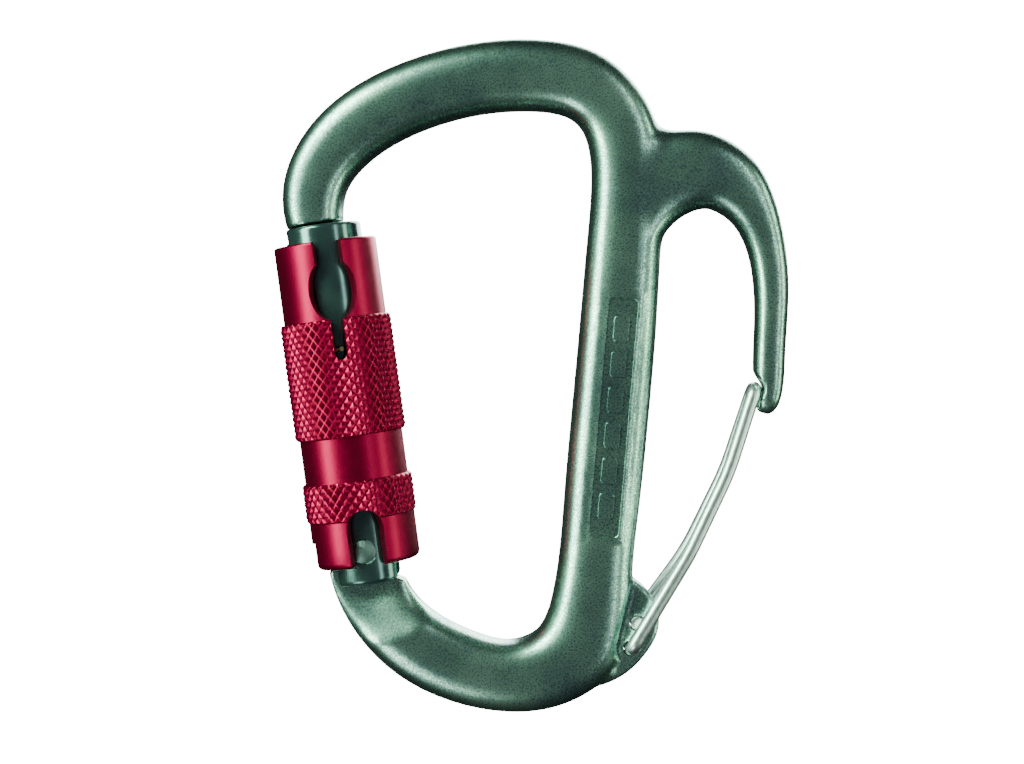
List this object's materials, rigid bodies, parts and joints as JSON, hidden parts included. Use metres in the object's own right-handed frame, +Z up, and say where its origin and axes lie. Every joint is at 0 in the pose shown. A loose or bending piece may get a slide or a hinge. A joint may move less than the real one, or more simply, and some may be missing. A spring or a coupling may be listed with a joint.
{
  "type": "locking carabiner",
  "caption": "D-shaped locking carabiner with a twist-lock sleeve on the gate and a side spur closed by a sprung wire gate, for adding friction to a lowering rope.",
  "frame": {"origin": "inside apex of the top bow, in the middle of the bar's thickness, where the carabiner hangs", "axes": "+Z up along the load line, +X from the locking gate to the spur, +Y through the thickness to the back"},
  "size_m": [0.0809, 0.0176, 0.1058],
  "materials": {
    "frame_anodised": "satin green-grey anodised forging, fine grain",
    "barrel_anodised": "glossy dark anodised",
    "sleeve_red": "red anodised, diamond knurled bands",
    "steel_wire": "polished stainless",
    "rivet_steel": "burnished rivet",
    "spring_steel": "straw-coloured spring wire",
    "plunger_brass": "turned brass"
  },
  "bodies": {
    "frame": {"frame": "frame_anodised", "wire_gate_rear_tail": "steel_wire"},
    "gate": {"gate_barrel": "barrel_anodised", "gate_hinge_rivet": "rivet_steel", "gate_bore_plug": "plunger_brass", "sleeve_guide_pin": "rivet_steel", "sleeve_retaining_ring": "spring_steel", "gate_closing_spring": "spring_steel"},
    "plunger": {"gate_plunger": "plunger_brass"},
    "sleeve": {"locking_sleeve": "sleeve_red", "sleeve_return_spring": "spring_steel"},
    "wire_gate": {"wire_gate": "steel_wire"}
  },
  "joints": [
    {"name": "gate_open", "type": "hinge", "parent": "frame", "child": "gate", "pos_m": [-0.0242, 0, -0.0687], "axis": [0, 1, 0], "range_deg": [0, 26], "stiffness_Nm_per_rad": 0.05, "springref_deg": -28.65},
    {"name": "plunger_slide", "type": "slide", "parent": "gate", "child": "plunger", "axis": [-0.1348, 0, 0.9909], "range_m": [0, 0.000928], "deforming": ["gate_closing_spring"]},
    {"name": "sleeve_twist", "type": "hinge", "parent": "gate", "child": "sleeve", "pos_m": [-0.0242, 0, -0.0687], "axis": [0.1348, 0, -0.9909], "range_deg": [0, 90], "stiffness_Nm_per_rad": 0.01, "springref_deg": -22.92, "deforming": ["sleeve_return_spring"]},
    {"name": "wire_gate_open", "type": "hinge", "parent": "frame", "child": "wire_gate", "pos_m": [0.0174, 0, -0.0842], "axis": [0, -1, 0], "range_deg": [0, 18], "stiffness_Nm_per_rad": 0.04, "springref_deg": -22.92}
  ],
  "couplings": [
    {"joint": "plunger_slide", "follows": "gate_open", "m_per_rad": 0.002}
  ]
}
